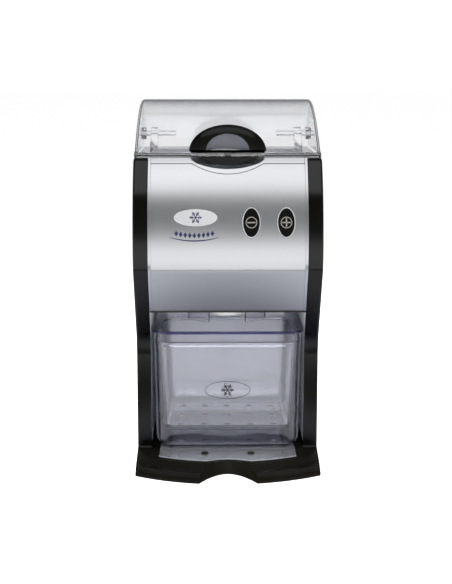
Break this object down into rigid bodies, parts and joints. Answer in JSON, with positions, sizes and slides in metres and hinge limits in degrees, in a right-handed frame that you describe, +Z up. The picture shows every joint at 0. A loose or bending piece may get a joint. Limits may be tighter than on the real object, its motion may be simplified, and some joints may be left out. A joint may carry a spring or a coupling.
{
  "type": "ice crusher",
  "caption": "Counter-top electric ice crusher: curved silver head with push buttons between black side panels, clear hinged hood, and a clear pull-out container with a drain basket.",
  "frame": {"origin": "centre of the footprint, on the plane the rubber feet stand on", "axes": "+Z up, front of the machine towards -Y, +X to the right seen from the front"},
  "size_m": [0.23, 0.3327, 0.4595],
  "materials": {
    "black_gloss": "high gloss",
    "silver_fascia": "satin, silver",
    "clear_plastic": "polished clear",
    "handle_black": "gloss",
    "bright_steel": "bright",
    "grey_plastic": "satin",
    "white_plastic": "gloss",
    "black_rubber": "matt",
    "cast_metal": "as cast",
    "motor_iron": "varnished laminations",
    "sheet_metal": "dark coating",
    "brass": "machined",
    "circuit_board": "solder resist",
    "badge": "gloss"
  },
  "bodies": {
    "housing": {"base_casting": "black_gloss", "side_panel_left": "black_gloss", "side_panel_right": "black_gloss", "rear_cover": "black_gloss", "bottom_plate": "sheet_metal", "gear_plate": "sheet_metal", "head_floor": "sheet_metal", "foot_front_left": "black_rubber", "foot_front_right": "black_rubber", "foot_rear_left": "black_rubber", "foot_rear_right": "black_rubber", "plate_pad_left": "black_rubber", "plate_pad_right": "black_rubber", "drip_plate": "bright_steel", "rear_screw_1": "bright_steel", "rear_screw_2": "bright_steel", "rear_screw_3": "bright_steel", "rear_screw_4": "bright_steel", "bezel_minus": "bright_steel", "bezel_plus": "bright_steel", "fixed_comb": "bright_steel", "bearing_front": "bright_steel", "bearing_rear": "bright_steel", "hinge_pin_left": "bright_steel", "hinge_pin_right": "bright_steel", "inner_wall_left": "grey_plastic", "inner_wall_right": "grey_plastic", "bay_back_wall": "grey_plastic", "hopper": "grey_plastic", "mains_inlet": "black_rubber", "switch_minus": "black_rubber", "switch_plus": "black_rubber", "lid_sensor": "black_rubber", "head_frame": "silver_fascia", "front_fascia": "silver_fascia", "top_trim": "silver_fascia", "badge_plate": "badge", "switch_board": "circuit_board", "crusher_housing": "cast_metal", "motor_bell_front": "cast_metal", "motor_bell_rear": "cast_metal", "motor_stator": "motor_iron", "discharge_chute": "white_plastic", "motor_capacitor": "white_plastic", "chute_skirt_left": "clear_plastic", "chute_skirt_right": "clear_plastic", "hinge_bracket_left": "clear_plastic", "hinge_bracket_right": "clear_plastic"},
    "lid": {"lid_shell": "clear_plastic", "lid_handle": "handle_black", "lid_magnet": "bright_steel"},
    "button_minus": {"button_minus": "black_gloss"},
    "button_plus": {"button_plus": "black_gloss"},
    "container": {"container_bin": "clear_plastic"},
    "basket": {"drain_basket": "clear_plastic"},
    "rotor": {"rotor_shaft": "bright_steel", "drive_gear": "white_plastic"},
    "motor_rotor": {"motor_shaft": "bright_steel", "motor_pinion": "brass", "motor_fan": "black_rubber"}
  },
  "joints": [
    {"name": "lid_hinge", "type": "hinge", "parent": "housing", "child": "lid", "pos_m": [0, 0.08966, 0.4125], "axis": [-1, 0, 0], "range_deg": [0, 90]},
    {"name": "minus_press", "type": "slide", "parent": "housing", "child": "button_minus", "axis": [0, 0.9782, -0.2076], "range_m": [0, 0.002], "stiffness_N_per_m": 300, "springref_m": -0.002},
    {"name": "plus_press", "type": "slide", "parent": "housing", "child": "button_plus", "axis": [0, 0.9782, -0.2076], "range_m": [0, 0.002], "stiffness_N_per_m": 300, "springref_m": -0.002},
    {"name": "container_slide", "type": "slide", "parent": "housing", "child": "container", "axis": [0, -1, 0], "range_m": [0, 0.19]},
    {"name": "basket_lift", "type": "slide", "parent": "container", "child": "basket", "axis": [0, 0, 1], "range_m": [0, 0.014]},
    {"name": "rotor_spin", "type": "hinge", "parent": "housing", "child": "rotor", "pos_m": [0, -0.13634, 0.273], "axis": [0, 1, 0], "continuous": true},
    {"name": "motor_spin", "type": "hinge", "parent": "housing", "child": "motor_rotor", "pos_m": [0, -0.13634, 0.345], "axis": [0, 1, 0], "continuous": true}
  ],
  "couplings": [
    {"joint": "motor_spin", "follows": "rotor_spin", "ratio": -3}
  ]
}
